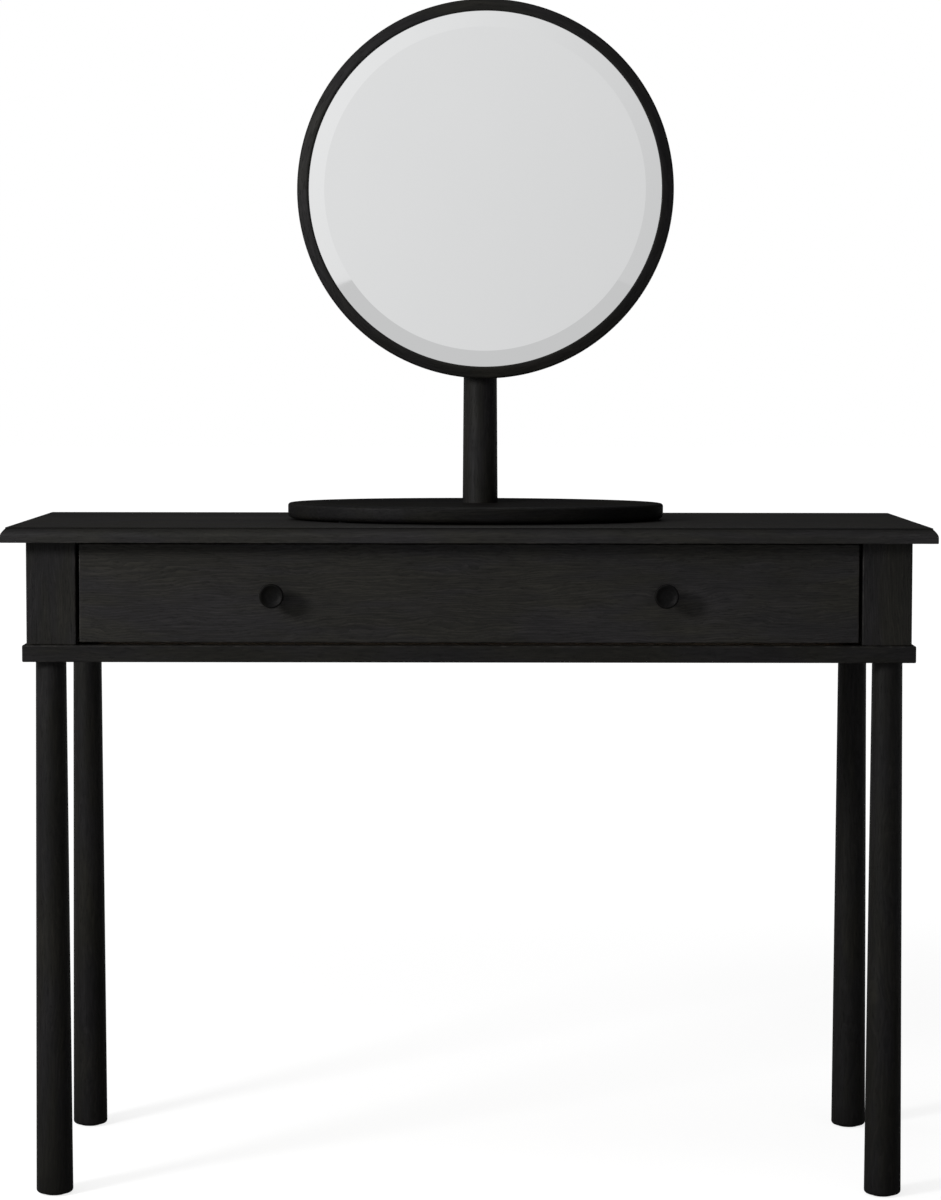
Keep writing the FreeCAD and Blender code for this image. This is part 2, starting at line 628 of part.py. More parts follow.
def drawer_back_and_bottom():
    """The back stands on the bottom, lower than the sides; a batten stiffens the bottom from below."""
    inside = f"{DRAWER_WIDE} - 2 * drawer_side_thick"
    back_y = f"{SIDE_START} + drawer_side_long - back_from_end - drawer_back_thick / 2"
    board("drawer_back", f"{inside} + 2 * housing_deep", "drawer_back_thick",
          "drawer_side_tall - groove_lift - bottom_thick - back_drop", "0", back_y,
          f"{SIDE_UNDER} + groove_lift + bottom_thick")
    bottom_long = "(drawer_side_long - back_from_end + groove_deep)"
    board("drawer_bottom", f"{inside} + 2 * groove_deep - bottom_play", bottom_long, "bottom_thick", "0",
          f"{SIDE_START} - groove_deep + {bottom_long} / 2", f"{SIDE_UNDER} + groove_lift")
    batten_long = "(drawer_side_long - back_from_end)"
    board("drawer_batten", "batten_wide", batten_long, "groove_lift - batten_lift", "0",
          f"{SIDE_START} + {batten_long} / 2", f"{SIDE_UNDER} + batten_lift")


def knobs():
    """Turned knobs with a waisted neck and a dished face, each held by a screw from inside the drawer."""
    radius = "knob_dia / 2"
    neck = "knob_neck_dia / 2"
    stalk = [("knob_bore_dia / 2", "0"), (f"{neck} + 1", "0"), (f"{neck} - 0.6", "5"), (f"{neck} - 0.4", "9"),
             (f"{neck} + 2.6", "14")]
    rim = [(f"{radius} - 0.6", "knob_long - 7"), (radius, "knob_long - 4.5"),
           (f"{radius} - 0.4", "knob_long - 1"), (f"{radius} - 1.8", "knob_long")]
    face = [(f"{radius} - 3.2", "knob_long - 0.5"), (f"{radius} - 6.5", "knob_long - 2.2"),
            ("0", "knob_long - 3")]
    bore = [("0", "knob_bore_deep"), ("knob_bore_dia / 2", "knob_bore_deep")]
    profile = stalk + rim + face + bore
    outwards = Rotation(Vector(1, 0, 0), 90)
    for side, sign in SIDES:
        knob = turned(f"knob_{side}", profile)
        place(knob, f"{sign} * knob_apart / 2", DRAWER_FACE, f"{CASE_FLOOR} + knob_lift", outwards)
    seat_y = at(SIDE_START)
    seat_z = at(f"{CASE_FLOOR} + knob_lift")
    forward = Vector(0, -1, 0)
    seats = [Vector(sign * size["knob_apart"] / 2, seat_y, seat_z) for _, sign in SIDES]
    screw_long = size["front_thick"] + size["knob_bore_deep"] - 3
    group("knob_screws", [screw(size["knob_bore_dia"], screw_long, size["knob_screw_head"],
                                size["screw_head_thick"], seat, forward) for seat in seats])


# ---------------------------------------------------------------- mirror stand


def oval(name, wide, deep, tall, lift):
    """An upright oval block, centred on its own Z axis."""
    outline = doc.addObject("Part::Ellipse", f"{name}_outline")
    outline.setExpression("MajorRadius", bound(f"({wide}) / 2"))
    outline.setExpression("MinorRadius", bound(f"({deep}) / 2"))
    outline.setExpression("Placement.Base.z", bound(lift))
    block = doc.addObject("Part::Extrusion", name)
    block.Base = outline
    block.DirMode = "Custom"
    block.Dir = Vector(0, 0, 1)
    block.Solid = True
    block.setExpression("LengthFwd", bound(tall))
    return block


def cylinder(name, diameter, tall, x="0", y="0", z="0"):
    block = doc.addObject("Part::Cylinder", name)
    block.setExpression("Radius", bound(f"({diameter}) / 2"))
    block.setExpression("Height", bound(tall))
    for axis, text in zip("xyz", (x, y, z)):
        block.setExpression(f"Placement.Base.{axis}", bound(text))
    return block


def rounded(name, base, radius, wanted):
    """Rounds the edges of a Part object for which wanted(edge) is true."""
    doc.recompute()
    feature = doc.addObject("Part::Fillet", name)
    feature.Base = base
    feature.Edges = [(n, radius, radius) for n, edge in enumerate(base.Shape.Edges, start=1) if wanted(edge)]
    return feature


def mirror_base():
    """The oval base: rounded below, dished above, with the stem bolt's hole and its sunk seat below."""
    block = oval("base_block", "base_wide", "base_deep", "base_thick", "0")
    softened = rounded("base_softened_below", block, size["base_under_round"], level_edge(0))
    softened = rounded("base_softened", softened, size["base_top_round"], level_edge(size["base_thick"]))
    dish = oval("base_dish", "base_wide - 2 * base_rim", "base_deep - 2 * base_rim", "dish_deep + 1",
                "base_thick - dish_deep")
    hole = cylinder("base_bolt_hole", "bolt_dia + 0.5", "base_thick", y="stem_back")
    seat = cylinder("base_bolt_seat", "bolt_seat_dia", "bolt_seat_deep", y="stem_back")
    tools = doc.addObject("Part::MultiFuse", "base_cutters")
    tools.Shapes = [dish, hole, seat]
    cut = doc.addObject("Part::Cut", "mirror_base_shape")
    cut.Base = softened
    cut.Tool = tools
    keep(cut, "mirror_base")
    place_on_stand(cut, up="pad_thick")


def base_pads():
    """Four felt discs under the base."""
    spots = [Vector(x * size["pad_x"], y * size["pad_y"], 0) for x in (-1, 1) for y in (-1, 1)]
    pads = [rod(size["pad_dia"], spot, Vector(0, 0, 1), size["pad_thick"]) for spot in spots]
    place_on_stand(group("base_pads", pads))


def mirror_stem():
    """The tapering stem: flat on both sides at the pivot, round-crowned, bored below for its bolt."""
    floor = "(pad_thick + base_thick - dish_deep)"
    pivot = f"(pivot_lift - {floor})"
    shoulder = f"({pivot} + stem_crown)"
    profile = [("bolt_dia / 2", "0"), ("stem_foot_dia / 2", "0"), ("stem_pivot_dia / 2", pivot),
               ("stem_pivot_dia / 2 - 3", f"{pivot} + 9"), ("crown_flat_dia / 2", shoulder), ("0", shoulder),
               ("0", "stem_bore_deep"), ("bolt_dia / 2", "stem_bore_deep")]
    stem = turned("mirror_stem", profile)
    for side, sign in SIDES:
        flat = rectangle(stem, f"Flat_{side}", "XY_Plane", "stem_foot_dia", "stem_foot_dia * 1.2",
                         (f"{sign} * (stem_flat + stem_foot_dia) / 2", "0", f"{shoulder} + 1"))
        pocket(stem, flat, "stem_crown + flat_drop + 1")
    hole = circle(stem, "PivotHole", "YZ_Plane", "pivot_bolt_dia + 0.2", ("0", pivot, "stem_flat"))
    pocket(stem, hole, "2 * stem_flat")
    place_on_stand(stem, back="stem_back", up=floor)


def hexagon(across_corners, middle, first, second):
    """A six-sided face about middle, in the plane of the unit vectors first and second."""
    corners = []
    for number in range(7):
        turn = math.radians(60 * number)
        corners.append(middle + (first * math.cos(turn) + second * math.sin(turn)) * (across_corners / 2))
    return Part.Face(Part.makePolygon(corners))


def stem_hardware():
    """The bolt and washer that hold the stem down, sunk in the underside of the base."""
    up = Vector(0, 0, 1)
    washer_dia, washer_thick = 24, 2
    head_dia, head_thick = 15, 4.5
    socket_across, socket_deep = 6, 3
    washer_under = Vector(0, 0, size["pad_thick"] + size["bolt_seat_deep"] - washer_thick)
    hole = rod(size["bolt_dia"] + 0.5, washer_under, up, washer_thick)
    washer = rod(washer_dia, washer_under, up, washer_thick).cut(hole)
    place_on_stand(group("stem_washer", [washer]), back="stem_back")
    head_under = washer_under - up * head_thick
    head = rod(head_dia, head_under, up, head_thick)
    socket = hexagon(socket_across, head_under, Vector(1, 0, 0), Vector(0, 1, 0)).extrude(up * socket_deep)
    shank = rod(size["bolt_dia"], washer_under, up, size["stem_bore_deep"] + washer_thick + 2)
    bolt = head.fuse(shank).cut(socket).removeSplitter()
    place_on_stand(group("stem_bolt", [bolt]), back="stem_back")


def pivot_hardware():
    """The pivot bolt with its dome nut, and a fibre and a steel washer at each side of the yoke's arms."""
    across = Vector(1, 0, 0)
    bolt_dia = size["pivot_bolt_dia"]
    head_radius, head_thick = 8.2, 4.4
    nut_across, nut_thick, dome_radius = 11.6, 5, 5
    fibre_dia = 24
    flat = size["stem_flat"] / 2
    arm_outside = flat + size["washer_gap"] + size["washer_thick"] + size["yoke_thick"]
    steel_from = arm_outside + size["washer_gap"]
    head_at = steel_from + size["steel_washer_thick"]

    bolt = rod(bolt_dia, across * -head_at, across, 2 * head_at + nut_thick + 2)
    cap = Part.makeBox(head_thick, 20, 20, Vector(-head_at - head_thick, -10, -10))
    head = Part.makeSphere(head_radius, Vector(-head_at, 0, 0)).common(cap)
    place_on_stand(group("pivot_bolt", [bolt.fuse(head).removeSplitter()]), back="stem_back", up="pivot_lift")

    nut = hexagon(nut_across, across * head_at, Vector(0, 1, 0), Vector(0, 0, 1)).extrude(across * nut_thick)
    dome_from = head_at + nut_thick
    cap = Part.makeBox(dome_radius, 12, 12, Vector(dome_from, -6, -6))
    dome = Part.makeSphere(dome_radius, Vector(dome_from, 0, 0)).common(cap)
    thread = rod(bolt_dia, across * head_at, across, nut_thick + 2)
    place_on_stand(group("pivot_nut", [nut.fuse(dome).cut(thread).removeSplitter()]), back="stem_back",
                   up="pivot_lift")

    fibre = []
    steel = []
    for _, sign in SIDES:
        way = across * sign
        hole = rod(size["pivot_bore_dia"], Vector(), way, head_at + 1)
        fibre.append(rod(fibre_dia, way * flat, way, size["washer_thick"]).cut(hole))
        disc = rod(size["steel_washer_dia"], way * steel_from, way, size["steel_washer_thick"])
        steel.append(disc.cut(hole))
    place_on_stand(group("pivot_fibre_washers", fibre), back="stem_back", up="pivot_lift")
    place_on_stand(group("pivot_steel_washers", steel), back="stem_back", up="pivot_lift")


# ---------------------------------------------------------------- mirror head; +Z is out of the mirror's face

MIRROR_BACK = "stem_back - stand_off"


def mirror_ring():
    """The wooden ring: its front falls back outwards, with a lip before the glass and a rebate behind it."""
    profile = [("rebate_dia / 2", "0"), ("ring_dia / 2", "0"), ("ring_dia / 2", "ring_deep - ring_fall"),
               ("ring_opening / 2", "ring_deep"), ("ring_opening / 2", "ring_deep - lip_thick"),
               ("rebate_dia / 2", "ring_deep - lip_thick")]
    ring = turned("mirror_ring", profile)
    round_edges(ring, "ring_round", level_edge(size["ring_deep"] - size["ring_fall"]))
    round_edges(ring, "ring_ease", lambda edge: (level_edge(size["ring_deep"])(edge)
                and edge.BoundBox.XMax < size["ring_opening"] / 2 + 1)
                or (level_edge(0)(edge) and edge.BoundBox.XMax > size["ring_dia"] / 2 - 1))
    place_on_stand(ring, MIRROR_BACK, "pivot_lift", "head_shift", facing_front=True)


def mirror_glass():
    """The round silvered glass with a wide ground bevel."""
    profile = [("0", "0"), ("glass_dia / 2", "0"), ("glass_dia / 2", "glass_thick - bevel_drop"),
               ("bevel_flat_dia / 2", "glass_thick"), ("0", "glass_thick")]
    glass = turned("mirror_glass", profile)
    place_on_stand(glass, f"{MIRROR_BACK} - board_thick", "pivot_lift", "head_shift", facing_front=True)


def backing_board():
    board_body = new_body("backing_board")
    pad(board_body, circle(board_body, "Disc", "XY_Plane", "board_dia"), "board_thick")
    place_on_stand(board_body, MIRROR_BACK, "pivot_lift", "head_shift", facing_front=True)


def pivot_yoke():
    """A steel plate on the board with two round-ended arms that reach back round the stem."""
    yoke = new_body("pivot_yoke")
    plate = rectangle(yoke, "Plate", "XY_Plane", "yoke_wide", "yoke_tall", ("0", "0", "-yoke_thick"))
    pad(yoke, plate, "yoke_thick")
    arm_middle = "(stem_flat / 2 + washer_gap + washer_thick + yoke_thick / 2)"
    for side, sign in SIDES:
        arm = rectangle(yoke, f"Arm_{side}", "YZ_Plane", "arm_wide", "stand_off",
                        ("0", "-stand_off / 2", f"{sign} * {arm_middle}"))
        pad(yoke, arm, "yoke_thick", symmetric=True)
        end = circle(yoke, f"ArmEnd_{side}", "YZ_Plane", "arm_wide",
                     ("0", "-stand_off", f"{sign} * {arm_middle}"))
        pad(yoke, end, "yoke_thick", symmetric=True)
    bore = circle(yoke, "PivotBore", "YZ_Plane", "pivot_bore_dia", ("0", "-stand_off", "yoke_wide / 2"))
    pocket(yoke, bore, "yoke_wide")
    place_on_stand(yoke, MIRROR_BACK, "pivot_lift", facing_front=True)


def head_screws():
    """Screws of the yoke's plate, and the clips that hold the board in the ring, with their screws."""
    inwards = Vector(0, 0, 1)
    seats = [Vector(x * size["yoke_screw_x"], y * size["yoke_screw_y"], -size["yoke_thick"])
             for x in (-1, 1) for y in (-1, 1)]
    screws = [wood_screw(seat, inwards, size["yoke_screw_long"]) for seat in seats]
    place_on_stand(group("yoke_screws", screws), MIRROR_BACK, "pivot_lift", facing_front=True)
    clips = []
    clip_screws = []
    wide, thick = size["clip_wide"], size["clip_thick"]
    inner = size["board_dia"] / 2 - wide
    outer = (size["ring_dia"] - thick * 2) / 2
    middle = (size["ring_dia"] + size["rebate_dia"]) / 4
    for number in range(6):
        turn = Rotation(inwards, 60 * number)
        clip = Part.makeBox(outer - inner, wide, thick, Vector(inner, -wide / 2, -thick))
        clip = clip.makeFillet(wide / 3, [edge for edge in clip.Edges if edge.BoundBox.ZLength > thick * 0.9])
        clip.Placement = Placement(Vector(), turn)
        clips.append(clip)
        clip_screws.append(screw(size["clip_screw_dia"], size["clip_screw_long"], size["clip_head_dia"],
                                 size["clip_head_thick"], turn.multVec(Vector(middle, 0, -thick)), inwards))
    for label, shapes in (("retaining_clips", clips), ("clip_screws", clip_screws)):
        place_on_stand(group(label, shapes), MIRROR_BACK, "pivot_lift", "head_shift", facing_front=True)


# ---------------------------------------------------------------- checking and writing


def check_and_write():
    doc.recompute()
    for obj in doc.Objects:
        if "Invalid" in obj.State or "Error" in obj.State:
            raise RuntimeError(f"{obj.Name} did not build: {obj.State}")
    os.makedirs("parts", exist_ok=True)
    for obj in parts:
        shape = obj.Shape
        if shape.isNull() or not shape.isValid() or not shape.Solids:
            raise RuntimeError(f"{obj.Label} has no valid solid")
        shape.exportStep(f"parts/{obj.Label}.step")
        print(f"{obj.Label}: {len(shape.Solids)} solid(s), {shape.Volume / 1000:.1f} cm3")


fill_sheet()
table_top()
corner_posts()
case_panels()
waist_rails()
top_rails()
legs()
leg_hardware()
drawer_run()
case_screws()
drawer_front()
drawer_sides()
drawer_back_and_bottom()
knobs()
mirror_base()
base_pads()
mirror_stem()
stem_hardware()
pivot_hardware()
mirror_ring()
mirror_glass()
backing_board()
pivot_yoke()
head_screws()
check_and_write()
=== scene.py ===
import json
import math

import bmesh
import bpy
from mathutils import Matrix, Vector


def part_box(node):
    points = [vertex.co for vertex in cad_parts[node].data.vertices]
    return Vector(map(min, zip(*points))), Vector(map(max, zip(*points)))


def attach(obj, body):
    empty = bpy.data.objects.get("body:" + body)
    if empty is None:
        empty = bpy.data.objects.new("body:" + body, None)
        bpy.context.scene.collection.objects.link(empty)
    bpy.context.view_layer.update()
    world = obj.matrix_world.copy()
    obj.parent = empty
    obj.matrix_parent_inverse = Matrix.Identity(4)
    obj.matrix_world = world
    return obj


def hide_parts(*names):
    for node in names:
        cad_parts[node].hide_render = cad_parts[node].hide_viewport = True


# Black-stained dressing table with a loose round mirror. Metres; X right, Y back, Z up; the floor is at z = 0.

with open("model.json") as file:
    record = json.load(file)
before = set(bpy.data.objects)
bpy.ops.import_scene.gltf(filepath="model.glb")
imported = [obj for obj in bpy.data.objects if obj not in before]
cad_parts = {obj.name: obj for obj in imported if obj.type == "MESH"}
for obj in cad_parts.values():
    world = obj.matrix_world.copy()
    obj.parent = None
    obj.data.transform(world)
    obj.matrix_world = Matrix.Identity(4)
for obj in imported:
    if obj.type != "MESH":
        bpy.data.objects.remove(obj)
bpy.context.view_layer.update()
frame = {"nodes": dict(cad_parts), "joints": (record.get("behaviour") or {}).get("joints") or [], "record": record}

MM = 0.001
HAIR = 0.1 * MM
AXES = "XYZ"
SIDES = ("left", "right")
ENDS = ("front", "rear")
UP = Vector((0, 0, 1))

nodes = frame["nodes"]
joints = {joint["name"]: joint for joint in frame["joints"]}
slot_of = {part["node"]: part["material_slot"] for part in frame["record"]["subparts"]}
body_of = {node: body for body, members in frame["record"]["behaviour"]["bodies"].items() for node in members}

# The loose stand is turned a little on the table top; its own right runs against the tilt axis.
stand_right = -Vector(joints["mirror_tilt"]["axis"]).normalized()
stand_back = UP.cross(stand_right)


def measured(node, matrix):
    """Lowest and highest corner of a CAD node in the frame that matrix describes."""
    to_local = matrix.inverted()
    corners = [to_local @ vertex.co for vertex in nodes[node].data.vertices]
    low = Vector([min(corner[n] for corner in corners) for n in range(3)])
    high = Vector([max(corner[n] for corner in corners) for n in range(3)])
    return low, high


def axes_at(origin, right, up, out):
    """A frame whose X, Y and Z run along right, up and out."""
    turn = Matrix((right, up, out)).transposed().to_4x4()
    return Matrix.Translation(origin) @ turn


def middle(node):
    low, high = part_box(node)
    return (low + high) / 2


TOP_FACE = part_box("table_top")[1].z
STAND = axes_at(Vector((*middle("mirror_base").xy, TOP_FACE)), stand_right, stand_back, UP)
STEM = axes_at(Vector((*middle("mirror_stem").xy, TOP_FACE)), stand_right, stand_back, UP)
HEAD = axes_at(middle("mirror_ring"), stand_right, UP, -stand_back)


# ---------------------------------------------------------------- material nodes

WHITE = (1, 1, 1, 1)
BLACK = (0, 0, 0, 1)


def new_material(name):
    material = bpy.data.materials.new(name)
    material.use_nodes = True
    material.node_tree.nodes.clear()
    return material, material.node_tree


def add(tree, kind, inputs, **settings):
    """Adds a node; an input is a plain value or another node's socket. Returns the node."""
    made = tree.nodes.new(kind)
    for name, value in settings.items():
        setattr(made, name, value)
    for name, value in inputs.items():
        if isinstance(value, bpy.types.NodeSocket):
            tree.links.new(value, made.inputs[name])
        else:
            made.inputs[name].default_value = value
    return made


def calc(tree, operation, first, second=0.0, third=0.0):
    return add(tree, "ShaderNodeMath", {0: first, 1: second, 2: third}, operation=operation).outputs[0]


def swung(tree, base, value, amount):
    """Base, moved by amount times how far value lies from its middle."""
    return calc(tree, "MULTIPLY_ADD", calc(tree, "SUBTRACT", value, 0.5), amount, base)


def stepped(tree, value, low, high, to_low=0.0, to_high=1.0):
    """A smooth step of value from to_low at low to to_high at high."""
    made = add(tree, "ShaderNodeMapRange",
               {"Value": value, "From Min": low, "From Max": high, "To Min": to_low, "To Max": to_high},
               interpolation_type="SMOOTHSTEP")
    return made.outputs["Result"]


def mixed(tree, factor, first, second, blend="MIX"):
    """Two colours mixed by factor."""
    made = add(tree, "ShaderNodeMix", {0: factor, 6: first, 7: second}, data_type="RGBA", blend_type=blend)
    return made.outputs[2]


def object_space(tree):
    return add(tree, "ShaderNodeTexCoord", {}).outputs["Object"]


def marked(tree, name):
    """How strongly the faces were marked with a name while the piece was made."""
    return add(tree, "ShaderNodeAttribute", {}, attribute_name=name).outputs["Fac"]


def mapped(tree, vector, scale, location=(0, 0, 0), rotation=(0, 0, 0)):
    made = add(tree, "ShaderNodeMapping",
               {"Vector": vector, "Scale": scale, "Location": location, "Rotation": rotation})
    return made.outputs["Vector"]


def noise(tree, vector, scale, detail=2.0, roughness=0.5):
    made = add(tree, "ShaderNodeTexNoise",
               {"Vector": vector, "Scale": scale, "Detail": detail, "Roughness": roughness})
    return made.outputs["Fac"]


def grained(tree, vector, fineness, detail=2.0, roughness=0.5, offset=(0, 0, 0)):
    """Noise with a fineness of its own along and across the fibres."""
    return noise(tree, mapped(tree, vector, fineness, offset), 1.0, detail, roughness)


def bumped(tree, height, distance):
    return add(tree, "ShaderNodeBump", {"Height": height, "Distance": distance, "Strength": 1.0}).outputs["Normal"]


def shaded(tree, material, inputs):
    """Ends a material in one Principled shader."""
    shader = add(tree, "ShaderNodeBsdfPrincipled", inputs)
    add(tree, "ShaderNodeOutputMaterial", {"Surface": shader.outputs["BSDF"]})
    return material


def toned(colour, share):
    """A colour, darkened or lightened to a share of itself."""
    return (*(channel * share for channel in colour[:3]), 1)


# ---------------------------------------------------------------- wood

# The lightest colour of each finish goes on marked arrises, as real wear and as a painted highlight.
BLACK_STAIN = {"deep": (0.0028, 0.0027, 0.0026, 1), "mid": (0.0086, 0.0083, 0.0078, 1),
               "high": (0.0200, 0.0190, 0.0176, 1), "worn_and_highlight": (0.032, 0.030, 0.027, 1),
               "rough": 0.56, "gloss": 0.16, "relief": 0.00020, "contrast": 0.85}
PALE_OAK = {"deep": (0.30, 0.19, 0.10, 1), "mid": (0.45, 0.31, 0.18, 1), "high": (0.56, 0.41, 0.25, 1),
            "worn_and_highlight": (0.60, 0.46, 0.30, 1), "rough": 0.48, "gloss": 0.40, "relief": 0.00012, "contrast": 1.1}
BIRCH_PLY = {"deep": (0.46, 0.33, 0.20, 1), "mid": (0.60, 0.46, 0.30, 1), "high": (0.68, 0.54, 0.37, 1),
             "worn_and_highlight": (0.70, 0.56, 0.38, 1), "rough": 0.50, "gloss": 0.40, "relief": 0.00008, "contrast": 0.8}
WARM_TINT = (1.05, 1.02, 0.86, 1)
COOL_TINT = (0.99, 0.96, 1.08, 1)

# The fibres run along X here; each kind of mark has its own fineness along them and across them.
GRAIN_TURN = {"X": (0, 0, 0), "Y": (0, 0, -math.pi / 2), "Z": (0, math.pi / 2, 0), "UV": (0, 0, 0)}
WANDER, WANDER_WIDTH = (5, 22, 22), 30 * MM
SWAY, SWAY_WIDTH = (28, 70, 70), 4.5 * MM
STREAKS = (26, 330, 330)
FIBRES = (90, 1700, 1700)
PORES = (75, 1150, 1150)
CLOUDS = (4, 13, 13)
TINT_DRIFT = (7, 34, 34)
RUB_AND_HIGHLIGHT = (60, 60, 60)

# The heart of the tree lies off the board and leans to it.
HEART_PLACE = (0, 35 * MM, 55 * MM)
HEART_LEAN = (0, 0.035, 0.025)
RING_SPACING = 3 * MM
WAVE_PERIOD = 0.314


def wood(name, along, finish, figure, offset, plank, quirk):
    """Open-grained wood with its fibres along one axis.

    figure is how strongly the growth rings show, offset where in the plank the piece was cut, plank the width of
    the glued-up boards, each with a tone of its own, and quirk whether faces marked for it are darkened and dulled
    as painted shade.
    """
    material, tree = new_material(name)
    space = add(tree, "ShaderNodeTexCoord", {})
    start = space.outputs["UV" if along == "UV" else "Object"]
    fibre = mapped(tree, start, (1, 1, 1), offset, GRAIN_TURN[along])

    # A slow warp makes the fibres wander.
    shift = swung(tree, 0.0, grained(tree, fibre, WANDER), WANDER_WIDTH)
    shift = swung(tree, shift, grained(tree, fibre, SWAY, 1.0), SWAY_WIDTH)
    push = add(tree, "ShaderNodeCombineXYZ", {"X": 0.0, "Y": shift, "Z": shift}).outputs["Vector"]
    bent = add(tree, "ShaderNodeVectorMath", {0: fibre, 1: push}, operation="ADD").outputs["Vector"]

    heart = mapped(tree, bent, (1, 1, 1), HEART_PLACE, HEART_LEAN)
    rings = add(tree, "ShaderNodeTexWave",
                {"Vector": heart, "Scale": WAVE_PERIOD / RING_SPACING, "Distortion": 2.2, "Detail": 2.0,
                 "Detail Scale": 0.6, "Detail Roughness": 0.6},
                wave_type="RINGS", rings_direction="X", wave_profile="SAW").outputs["Fac"]
    streaks = grained(tree, bent, STREAKS, 3.0, 0.62)
    fibres = grained(tree, bent, FIBRES, 2.0, 0.6)
    pores = stepped(tree, grained(tree, bent, PORES, 1.0, offset=(3.1, 0, 0)), 0.60, 0.70)
    cloud = grained(tree, fibre, CLOUDS, 3.0, 0.55, (7.7, 1.3, 2.9))

    tone = swung(tree, 0.5, streaks, finish["contrast"])
    tone = swung(tree, tone, rings, 0.30 * figure)
    tone = swung(tree, tone, cloud, 0.70)
    tone = swung(tree, tone, fibres, 0.30)
    if plank:
        across = add(tree, "ShaderNodeSeparateXYZ", {0: fibre}).outputs["Y"]
        number = calc(tree, "FLOOR", calc(tree, "DIVIDE", across, plank))
        own = add(tree, "ShaderNodeTexWhiteNoise", {"W": number}, noise_dimensions="1D").outputs["Value"]
        tone = swung(tree, tone, own, 0.22)

    ramp = add(tree, "ShaderNodeValToRGB", {"Fac": tone})
    ramp.color_ramp.elements[0].color = finish["deep"]
    ramp.color_ramp.elements[0].position = 0.10
    ramp.color_ramp.elements[1].color = finish["high"]
    ramp.color_ramp.elements[1].position = 0.95
    ramp.color_ramp.elements.new(0.5).color = finish["mid"]
    colour = mixed(tree, calc(tree, "MULTIPLY", pores, 0.45), ramp.outputs["Color"], finish["deep"])
    drifted = grained(tree, fibre, TINT_DRIFT, 2.0, 0.6, (1.9, 4.1, 6.3))
    tint = mixed(tree, stepped(tree, drifted, 0.35, 0.65), WARM_TINT, COOL_TINT)
    colour = mixed(tree, 1.0, colour, tint, "MULTIPLY")

    # End grain drinks more stain.
    if along != "UV":
        facing = add(tree, "ShaderNodeSeparateXYZ", {0: space.outputs["Normal"]})
        end = stepped(tree, calc(tree, "ABSOLUTE", facing.outputs[along]), 0.75, 0.97)
        colour = mixed(tree, calc(tree, "MULTIPLY", end, 0.45), colour, finish["deep"])

    # Arrises are rubbed a little through the finish, and lightened in patches as a painted highlight.
    rub_and_highlight = stepped(tree, grained(tree, start, RUB_AND_HIGHLIGHT, 3.0, 0.7), 0.42, 0.78)
    colour = mixed(tree, calc(tree, "MULTIPLY", marked(tree, "wear_and_highlight"), rub_and_highlight), colour, finish["worn_and_highlight"])
    inputs = {"Specular IOR Level": finish["gloss"]}
    if quirk:
        # Painted shade: faces marked for the quirk are darkened and their reflection is tinted to black.
        painted_quirk_shade = marked(tree, "painted_quirk_shade")
        colour = mixed(tree, painted_quirk_shade, colour, finish["deep"])
        inputs["Specular Tint"] = mixed(tree, painted_quirk_shade, WHITE, BLACK)

    rough = swung(tree, finish["rough"], cloud, 0.18)
    rough = swung(tree, rough, streaks, -0.20)
    rough = calc(tree, "MULTIPLY_ADD", pores, 0.18, rough)
    height = calc(tree, "MULTIPLY_ADD", rings, 0.25 * figure, streaks)
    height = calc(tree, "MULTIPLY_ADD", pores, -0.5, height)
    height = calc(tree, "MULTIPLY_ADD", fibres, 0.15, height)
    inputs |= {"Base Color": colour, "Roughness": rough, "Normal": bumped(tree, height, finish["relief"])}
    return shaded(tree, material, inputs)


# ---------------------------------------------------------------- other finishes

SPECKLE = 0.25
TURNING_MARKS = (900, 900, 4200)
HAZE = (9, 9, 6)
GLASS_DARK = (0.828, 0.835, 0.839, 1)
GLASS_LIGHT = (0.846, 0.851, 0.854, 1)


def painted(name, base, rough, peel_scale, relief, gloss=0.5):
    """A coat of paint or a moulded skin: a fine orange peel and a slightly uneven tone."""
    material, tree = new_material(name)
    space = object_space(tree)
    peel = noise(tree, space, peel_scale, 3.0, 0.6)
    cloud = noise(tree, space, 35.0, 3.0)
    tone = calc(tree, "ADD", calc(tree, "MULTIPLY", peel, 0.5), calc(tree, "MULTIPLY", cloud, 0.5))
    colour = mixed(tree, stepped(tree, tone, 0.35, 0.65), toned(base, 1 - SPECKLE), toned(base, 1 + SPECKLE))
    return shaded(tree, material, {"Base Color": colour, "Specular IOR Level": gloss,
                                   "Roughness": swung(tree, rough, cloud, 0.16),
                                   "Normal": bumped(tree, peel, relief)})


def plated(name, base, rough):
    """Bare or plated metal with fine turning marks and a few dull patches."""
    material, tree = new_material(name)
    space = object_space(tree)
    marks = grained(tree, space, TURNING_MARKS)
    dull = noise(tree, space, 160.0, 3.0, 0.65)
    colour = mixed(tree, stepped(tree, dull, 0.45, 0.75, 0.0, 0.6), toned(base, 1), toned(base, 0.55))
    return shaded(tree, material, {"Base Color": colour, "Metallic": 1.0,
                                   "Roughness": calc(tree, "MULTIPLY_ADD", dull, 0.3, rough - 0.12),
                                   "Normal": bumped(tree, marks, 0.00004)})


def silvered(name):
    """Silvered glass, with a breath of haze that only shows in the gloss."""
    material, tree = new_material(name)
    haze = grained(tree, object_space(tree), HAZE, 4.0, 0.6)
    smear = stepped(tree, haze, 0.35, 0.75, 0.012, 0.035)
    colour = mixed(tree, haze, GLASS_DARK, GLASS_LIGHT)
    return shaded(tree, material, {"Base Color": colour, "Metallic": 1.0, "Roughness": smear})


def felted(name, base):
    """Pressed felt."""
    material, tree = new_material(name)
    space = object_space(tree)
    hair = noise(tree, space, 2600.0, 4.0, 0.7)
    tuft = noise(tree, space, 500.0, 3.0)
    colour = mixed(tree, tuft, toned(base, 0.6), toned(base, 1.5))
    return shaded(tree, material, {"Base Color": colour, "Roughness": 0.95, "Sheen Weight": 0.4,
                                   "Normal": bumped(tree, hair, 0.0004)})


